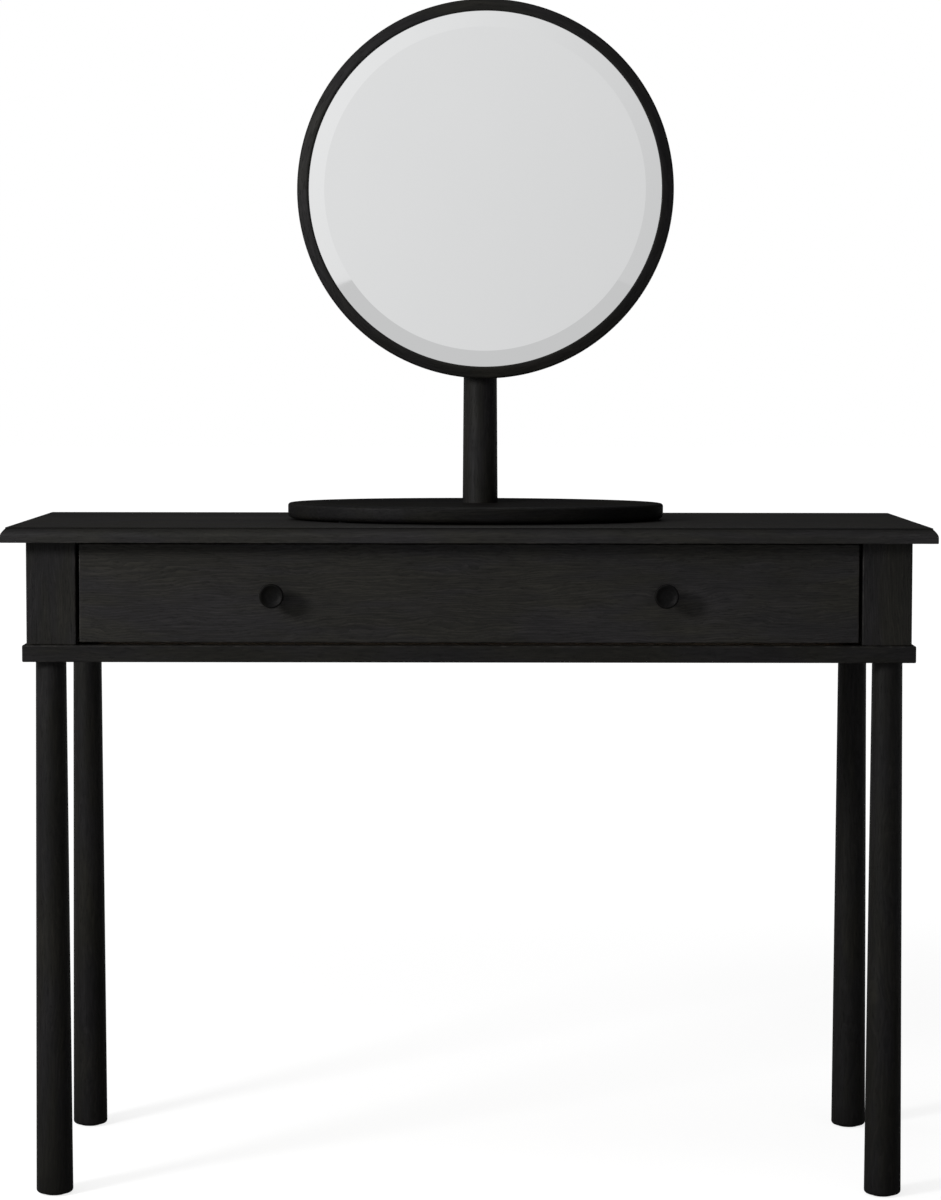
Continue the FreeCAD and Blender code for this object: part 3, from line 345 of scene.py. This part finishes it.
FINISHES = {
    "black_steel": painted("powder_coated_steel", (0.022, 0.022, 0.023), 0.46, 1400.0, 0.00006),
    "zinc_steel": plated("zinc_plated_steel", (0.62, 0.62, 0.60), 0.34),
    "insert_brass": plated("plain_brass", (0.72, 0.53, 0.24), 0.32),
    "glide_nylon": painted("black_nylon", (0.045, 0.045, 0.046), 0.50, 1800.0, 0.00005),
    "fibre": painted("vulcanised_fibre", (0.22, 0.055, 0.030), 0.62, 1500.0, 0.00008),
    "backing_board_black": painted("painted_fibreboard", (0.018, 0.018, 0.018), 0.66, 900.0, 0.00012, 0.3),
    "silvered_glass": silvered("silvered_glass"),
    "felt": felted("pressed_felt", (0.035, 0.035, 0.036)),
}
WOODS = {"black_stained_oak": BLACK_STAIN, "plain_drawer_wood": PALE_OAK, "drawer_plywood": BIRCH_PLY}
CUT_STEP = Vector((173, 37, 53)) * MM
cut_pieces = []


def finish_for(node, along=None, figure=0.5, plank=0.0, share=1.0, smooth=0.0, quirk=False):
    """The finish of a node's slot.

    Wood gets its grain along its longest side unless along is given. share darkens it and dulls it, and smooth
    takes its relief down.
    """
    slot = slot_of[node]
    if slot in FINISHES:
        return FINISHES[slot]
    if along is None:
        low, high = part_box(node)
        along = AXES[max(range(3), key=lambda n: (high - low)[n])]
    finish = {part: toned(value, share) if isinstance(value, tuple) else value
              for part, value in WOODS[slot].items()}
    finish["gloss"] *= share
    finish["relief"] *= 1 - smooth
    offset = CUT_STEP * len(cut_pieces)
    cut_pieces.append(node)
    return wood(f"{node}_wood", along, finish, figure, offset, plank, quirk)


# ---------------------------------------------------------------- building pieces

ARRIS_STEPS = 3


def make_piece(bm, name, node, material, sharp=35.0):
    """Turns bm into the piece that stands for a CAD node. Edges sharper than sharp degrees stay crisp."""
    bmesh.ops.recalc_face_normals(bm, faces=bm.faces)
    mesh = bpy.data.meshes.new(name)
    bm.to_mesh(mesh)
    bm.free()
    if sharp:
        mesh.shade_smooth()
        mesh.set_sharp_from_angle(angle=math.radians(sharp))
    mesh.materials.append(material)
    piece = bpy.data.objects.new(name, mesh)
    bpy.context.scene.collection.objects.link(piece)
    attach(piece, body_of[node])
    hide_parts(node)


def bevelled(bm, edges, radius, segments=ARRIS_STEPS, wear_and_highlight=1.0):
    """Rounds edges and marks the new faces for wear and a painted highlight."""
    rounded = bmesh.ops.bevel(bm, geom=edges, offset=radius, offset_type="OFFSET", segments=segments, profile=0.5,
                              affect="EDGES", clamp_overlap=True, material=-1)
    layer = bm.faces.layers.float["wear_and_highlight"]
    for face in rounded["faces"]:
        face[layer] = wear_and_highlight


def block(low, high):
    """A bmesh box between two corners, with no faces marked yet for wear and painted highlight."""
    bm = bmesh.new()
    bm.faces.layers.float.new("wear_and_highlight")
    bmesh.ops.create_cube(bm, size=1.0)
    bmesh.ops.scale(bm, vec=high - low, verts=bm.verts)
    bmesh.ops.translate(bm, vec=(low + high) / 2, verts=bm.verts)
    return bm


def board(node, radius, **look):
    """A planed board with softened arrises, in the space of its CAD node."""
    bm = block(*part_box(node))
    bevelled(bm, bm.edges[:], radius)
    make_piece(bm, node + "_board", node, finish_for(node, **look), sharp=None)


def pairs(*points):
    return [Vector(point) for point in points]


def quarter(across, up, radius, start, steps):
    """Points on a quarter circle about a centre, turning to the left from the start angle in degrees."""
    turns = [math.radians(start + 90 * n / steps) for n in range(steps + 1)]
    return [Vector((across + radius * math.cos(turn), up + radius * math.sin(turn))) for turn in turns]


def smooth_line(points, steps):
    """Points along a smooth line through the given ones."""
    ends = [points[0] * 2 - points[1]] + points + [points[-1] * 2 - points[-2]]
    line = []
    for before, here, there, after in zip(ends, ends[1:], ends[2:], ends[3:]):
        for step in range(steps):
            t = step / steps
            line.append(0.5 * (2 * here + (there - before) * t
                               + (2 * before - 5 * here + 4 * there - after) * t ** 2
                               + (3 * here - before - 3 * there + after) * t ** 3))
    return line + [points[-1]]


def spun(profile, matrix, segments):
    """Turns a line of (radius, height) points about the Z axis and closes it at the axis."""
    bm = bmesh.new()
    verts = [bm.verts.new((point[0], 0, point[1])) for point in profile]
    edges = [bm.edges.new(pair) for pair in zip(verts, verts[1:])]
    bmesh.ops.spin(bm, geom=verts + edges, cent=(0, 0, 0), axis=(0, 0, 1), angle=math.tau, steps=segments,
                   use_merge=True, use_duplicate=False)
    bmesh.ops.remove_doubles(bm, verts=bm.verts, dist=1e-6)
    bmesh.ops.transform(bm, matrix=matrix, verts=bm.verts)
    return bm


# ---------------------------------------------------------------- table

EDGE_IN = 6 * MM
EDGE_DOWN = 10.5 * MM
EDGE_STEPS = 12
QUIRK = 1.3 * MM
LEG_TAPER = 36.2 / 44
LEG_EASE = 4 * MM
LEG_RINGS = 24


def table_top():
    """The top: a small quirk under the flat, then a moulding deeper than it is wide, over a plain square band."""
    low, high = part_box("table_top")
    bm = block(low, high)
    upper = [edge for edge in bm.edges if all(vert.co.z > high.z - MM for vert in edge.verts)]
    bevelled(bm, upper, EDGE_IN, EDGE_STEPS, wear_and_highlight=0.0)
    for vert in bm.verts:
        climb = (vert.co.z - (high.z - EDGE_IN)) / EDGE_IN
        if climb < -0.01:
            continue
        climb = max(climb, 0)
        if climb < 0.999:
            vert.co.z = high.z - QUIRK - (EDGE_DOWN - QUIRK) * (1 - climb ** 0.8)
        inset = EDGE_IN * climb ** 1.35
        for axis in (0, 1):
            edge = high[axis] if vert.co[axis] > 0 else low[axis]
            vert.co[axis] = edge - math.copysign(inset, vert.co[axis])

    # Painted shade: moulding faces are marked darker and duller the nearer they sit to the quirk under the flat.
    painted_quirk_shade = bm.faces.layers.float.new("painted_quirk_shade")
    for face in bm.faces:
        level = face.calc_center_median().z
        above = level - (high.z - EDGE_DOWN)
        if 0 < above and level < high.z - HAIR:
            face[painted_quirk_shade] = 0.85 * (above / EDGE_DOWN) ** 1.6
    under = [edge for edge in bm.edges if all(vert.co.z < low.z + HAIR for vert in edge.verts)]
    bevelled(bm, under, 0.8 * MM, 2)
    make_piece(bm, "table_top_board", "table_top",
               finish_for("table_top", plank=92 * MM, share=1.1, quirk=True), sharp=None)


def case():
    for side in SIDES:
        for end in ENDS:
            board(f"{end}_post_{side}", 1.4 * MM, along="Z", figure=0.7, share=0.8)
        board(f"side_panel_{side}", 0.6 * MM, along="Y", share=0.8)
        board(f"waist_rail_{side}", 1.5 * MM, along="Y", figure=0.3, share=0.68)
    board("rear_panel", 0.6 * MM, along="X", share=0.8)
    for end in ENDS:
        board(f"waist_rail_{end}", 1.5 * MM, along="X", figure=0.3, share=0.68)


def legs():
    """Round legs, a little thicker at the foot, with an eased lower edge."""
    for end in ENDS:
        for side in SIDES:
            node = f"leg_{end}_{side}"
            low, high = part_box(node)
            tall = high.z - low.z
            foot = (high.x - low.x) / 2
            top = foot * LEG_TAPER
            shaft = [Vector((foot, LEG_EASE)).lerp(Vector((top, tall)), n / LEG_RINGS)
                     for n in range(1, LEG_RINGS + 1)]
            profile = (pairs((0, 0)) + quarter(foot - LEG_EASE, LEG_EASE, LEG_EASE, -90, 6) + shaft
                       + pairs((0, tall)))
            bm = spun(profile, Matrix.Translation((*middle(node).xy, low.z)), 48)
            make_piece(bm, node + "_turned", node, finish_for(node, along="Z", figure=0.6, share=0.64))


# ---------------------------------------------------------------- drawer


def knobs():
    """Turned knobs: a waisted neck, a flared head and a shallow dish in the face."""
    for side in SIDES:
        node = f"knob_{side}"
        low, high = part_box(node)
        radius = (high.z - low.z) / 2
        long = high.y - low.y
        neck = radius * 0.47
        stalk = smooth_line(pairs((neck + 1.2 * MM, 0), (neck - 0.3 * MM, 4 * MM), (neck + 0.4 * MM, 9 * MM),
                                  (neck + 3.4 * MM, 14 * MM), (radius - 0.9 * MM, 18.5 * MM),
                                  (radius, 21.5 * MM), (radius - 0.5 * MM, long - 0.9 * MM),
                                  (radius - 1.8 * MM, long), (radius - 3.4 * MM, long - 0.7 * MM),
                                  (radius - 7 * MM, long - 2.3 * MM), (0, long - 3.0 * MM)), 4)
        place = axes_at(Vector((middle(node).x, high.y, middle(node).z)), Vector((1, 0, 0)), UP,
                        Vector((0, -1, 0)))
        bm = spun(pairs((0, 0)) + stalk, place, 56)
        make_piece(bm, node + "_turned", node, finish_for(node, along="Y", figure=0.2, share=0.38), sharp=60)


# ---------------------------------------------------------------- mirror

BASE_RIM = 24 * MM
BASE_SWEEP = 40 * MM
BASE_DISH = 3 * MM
BASE_SOFT_BELOW = 6 * MM
BASE_SOFT_ABOVE = 3.4 * MM
STEM_FOOT = 44.5 * MM / 2
STEM_NECK = 38.6 * MM / 2
STEM_FLAT = 30 * MM / 2
STEM_SHOULDER = 34 * MM
RING_OPENING = 442 * MM / 2
RING_REBATE = 449 * MM / 2
RING_LIP = 3 * MM
RING_FALL = 2.8 * MM
RING_SWELL = 0.35 * MM
RING_BIG = 3.6 * MM
RING_SMALL = 1.3 * MM
GLASS_FIELD = 402 * MM / 2
GLASS_DROP = 1.1 * MM
GLASS_EDGE = 0.3 * MM
ROUND = 240


def mirror_base():
    """The oval base: soft edges, a flat rim and a shallow dish that sweeps down from it."""
    low, high = measured("mirror_base", STAND)
    half_wide, half_deep = (high.x - low.x) / 2, (high.y - low.y) / 2
    dished = half_wide - BASE_RIM - BASE_SWEEP
    sweep = [(dished + BASE_SWEEP * (1 - share), high.z - BASE_DISH * (3 * share ** 2 - 2 * share ** 3))
             for share in (n / 10 for n in range(11))]
    profile = (pairs((0, low.z))
               + quarter(half_wide - BASE_SOFT_BELOW, low.z + BASE_SOFT_BELOW, BASE_SOFT_BELOW, -90, 6)
               + quarter(half_wide - BASE_SOFT_ABOVE, high.z - BASE_SOFT_ABOVE, BASE_SOFT_ABOVE, 0, 6)
               + pairs(*sweep, (0, high.z - BASE_DISH)))
    bm = spun(profile, Matrix(), 144)

    # The turned shape is pressed to an oval whose rim is as wide all the way round.
    for vert in bm.verts:
        radius = max(vert.co.xy.length, dished)
        vert.co.y *= (half_deep - half_wide + radius) / radius
    bmesh.ops.transform(bm, matrix=STAND, verts=bm.verts)
    make_piece(bm, "mirror_base_turned", "mirror_base",
               finish_for("mirror_base", along="X", figure=0.8, share=0.46))


def mirror_stem():
    """The tapering stem with flats at the pivot and a rounded crown."""
    low, high = measured("mirror_stem", STEM)
    pivot = joints["mirror_tilt"]["pos_m"][2] - TOP_FACE
    shoulder = pivot - STEM_SHOULDER
    levels = [low.z + (shoulder - low.z) * n / 14 for n in range(15)] + [shoulder + 0.6 * MM, pivot]
    shaft = [Vector((STEM_FOOT + (STEM_NECK - STEM_FOOT) * (level - low.z) / (pivot - low.z), level))
             for level in levels]
    crown = smooth_line(pairs((STEM_NECK - 0.2 * MM, pivot + 4 * MM), (STEM_NECK - 2.5 * MM, pivot + 9.5 * MM),
                              (STEM_NECK - 7 * MM, pivot + 14.5 * MM), (STEM_NECK - 13 * MM, high.z - 0.3 * MM),
                              (0, high.z)), 4)
    bm = spun(pairs((0, low.z)) + shaft + crown, Matrix(), 72)
    for vert in bm.verts:
        if vert.co.z > shoulder + HAIR and abs(vert.co.x) > STEM_FLAT:
            vert.co.x = math.copysign(STEM_FLAT, vert.co.x)
    bmesh.ops.transform(bm, matrix=STEM, verts=bm.verts)
    make_piece(bm, "mirror_stem_turned", "mirror_stem",
               finish_for("mirror_stem", along="Z", figure=0.5, share=0.68), sharp=28)


def lay_round(bm, radius):
    """A UV map whose U runs round the piece and V across it, so that bent wood has its grain along the bend."""
    lay = bm.loops.layers.uv.new("grain")
    for face in bm.faces:
        centre = face.calc_center_median()
        home = math.atan2(centre.y, centre.x)
        for loop in face.loops:
            spot = loop.vert.co
            turn = math.atan2(spot.y, spot.x)
            turn += math.tau * round((home - turn) / math.tau)
            loop[lay].uv = (turn * radius, math.hypot(spot.x, spot.y) + spot.z * 0.7)


def mirror_ring():
    """The ring: bent wood with its grain running round it, rounded outside and lipped over the glass."""
    low, high = measured("mirror_ring", HEAD)
    outer, back, front = high.x, low.z, high.z
    crest = Vector((outer - RING_BIG, front - RING_FALL))
    lip = Vector((RING_OPENING + RING_SMALL, front))
    face = [crest.lerp(lip, share) + Vector((0, RING_SWELL * math.sin(math.pi * share)))
            for share in (0.2, 0.4, 0.6, 0.8)]
    profile = (pairs((RING_REBATE, front - RING_LIP), (RING_REBATE, back))
               + quarter(outer - RING_SMALL, back + RING_SMALL, RING_SMALL, -90, 5)
               + quarter(crest.x, crest.y - RING_BIG, RING_BIG, 0, 5) + face
               + quarter(lip.x, front - RING_SMALL, RING_SMALL, 90, 5)
               + pairs((RING_OPENING, front - RING_LIP), (RING_REBATE, front - RING_LIP)))
    bm = spun(profile, Matrix(), ROUND)
    lay_round(bm, outer)
    bmesh.ops.transform(bm, matrix=HEAD, verts=bm.verts)
    make_piece(bm, "mirror_ring_bent", "mirror_ring",
               finish_for("mirror_ring", along="UV", figure=0.3, share=0.62, smooth=0.8), sharp=40)


def mirror_glass():
    """The round glass: a flat field, a wide ground bevel and a thin polished edge."""
    low, high = measured("mirror_glass", HEAD)
    radius = high.x
    profile = pairs((0, low.z), (radius - GLASS_EDGE, low.z), (radius, low.z + GLASS_EDGE),
                    (radius, high.z - GLASS_DROP), (GLASS_FIELD, high.z), (0, high.z))
    make_piece(spun(profile, HEAD, ROUND), "mirror_glass_ground", "mirror_glass", finish_for("mirror_glass"),
               sharp=1.5)


# ---------------------------------------------------------------- room, light and camera

KEY_TURN = math.radians(49)
KEY_RISE = math.radians(18)
KEY_WAY = Vector((-math.sin(KEY_TURN) * math.cos(KEY_RISE), -math.cos(KEY_TURN) * math.cos(KEY_RISE),
                  math.sin(KEY_RISE)))
KEY_AIM = Vector((0, 0, 0.75))
KEY_AWAY = 3.2
FLOOR_GREY = (0.30, 0.30, 0.30, 1)
FLOOR_FADE = (1.0, 3.2)
LENS = 100.59
CAMERA_PLACE = (0.0097, -4.1465, 0.9838)
CAMERA_TURN = (math.pi / 2 - 0.0675, -0.0011, 0.0021)


def room_light():
    """A white surround, and a soft studio glow that comes mostly from the front left."""
    world = bpy.data.worlds.new("studio")
    bpy.context.scene.world = world
    world.use_nodes = True
    tree = world.node_tree
    tree.nodes.clear()
    way = add(tree, "ShaderNodeTexCoord", {}).outputs["Generated"]
    toward_key = add(tree, "ShaderNodeVectorMath", {0: way, 1: KEY_WAY}, operation="DOT_PRODUCT").outputs["Value"]
    glow = calc(tree, "MAXIMUM", calc(tree, "MULTIPLY_ADD", toward_key, 1.16, -0.03), 0.05)
    studio = add(tree, "ShaderNodeBackground", {"Color": WHITE, "Strength": glow})
    backdrop = add(tree, "ShaderNodeBackground", {"Color": WHITE, "Strength": 1.0})
    seen = add(tree, "ShaderNodeLightPath", {}).outputs["Is Camera Ray"]
    mix = add(tree, "ShaderNodeMixShader", {0: seen, 1: studio.outputs[0], 2: backdrop.outputs[0]})
    add(tree, "ShaderNodeOutputWorld", {"Surface": mix.outputs[0]})


def area_light(name, place, aim, size, power):
    lamp = bpy.data.lights.new(name, "AREA")
    lamp.shape = "DISK"
    lamp.size = size
    lamp.energy = power
    holder = bpy.data.objects.new(name, lamp)
    holder.location = place
    holder.rotation_euler = (aim - place).to_track_quat("-Z", "Y").to_euler()
    bpy.context.scene.collection.objects.link(holder)


def floor():
    """A pale floor that fades into the white surround away from the table."""
    bm = bmesh.new()
    bmesh.ops.create_grid(bm, x_segments=1, y_segments=1, size=40.0)
    mesh = bpy.data.meshes.new("floor")
    bm.to_mesh(mesh)
    bm.free()
    material, tree = new_material("pale_floor")
    away = add(tree, "ShaderNodeVectorMath", {0: object_space(tree)}, operation="LENGTH").outputs["Value"]
    seen = add(tree, "ShaderNodeLightPath", {}).outputs["Is Camera Ray"]
    lit = add(tree, "ShaderNodeBsdfDiffuse", {"Color": FLOOR_GREY})
    own = add(tree, "ShaderNodeEmission", {"Color": WHITE, "Strength": calc(tree, "MULTIPLY", seen, 0.82)})
    near = add(tree, "ShaderNodeAddShader", {0: lit.outputs[0], 1: own.outputs[0]})
    far = add(tree, "ShaderNodeEmission", {"Color": WHITE, "Strength": stepped(tree, seen, 0.0, 1.0, 0.66, 1.05)})
    mix = add(tree, "ShaderNodeMixShader",
              {0: stepped(tree, away, *FLOOR_FADE), 1: near.outputs[0], 2: far.outputs[0]})
    add(tree, "ShaderNodeOutputMaterial", {"Surface": mix.outputs[0]})
    mesh.materials.append(material)
    ground = bpy.data.objects.new("floor", mesh)
    bpy.context.scene.collection.objects.link(ground)


def camera():
    """A long lens from a little over table height, looking slightly down."""
    lens = bpy.data.cameras.new("camera")
    lens.sensor_width = 36
    lens.lens = LENS
    lens.clip_end = 200
    holder = bpy.data.objects.new("camera", lens)
    holder.location = CAMERA_PLACE
    holder.rotation_euler = CAMERA_TURN
    bpy.context.scene.collection.objects.link(holder)
    bpy.context.scene.camera = holder


bpy.context.scene.view_settings.view_transform = "Standard"

table_top()
case()
legs()
board("drawer_front", 1.3 * MM, along="X", figure=1.0)
knobs()
mirror_base()
mirror_stem()
mirror_ring()
mirror_glass()

for node, piece in nodes.items():
    if not piece.hide_render:
        piece.data.materials.clear()
        piece.data.materials.append(finish_for(node))

room_light()
area_light("key", KEY_WAY * KEY_AWAY + KEY_AIM, KEY_AIM, 0.7, 76)
area_light("overhead", Vector((0, -0.4, 3.0)), Vector(), 2.4, 12)
floor()
camera()
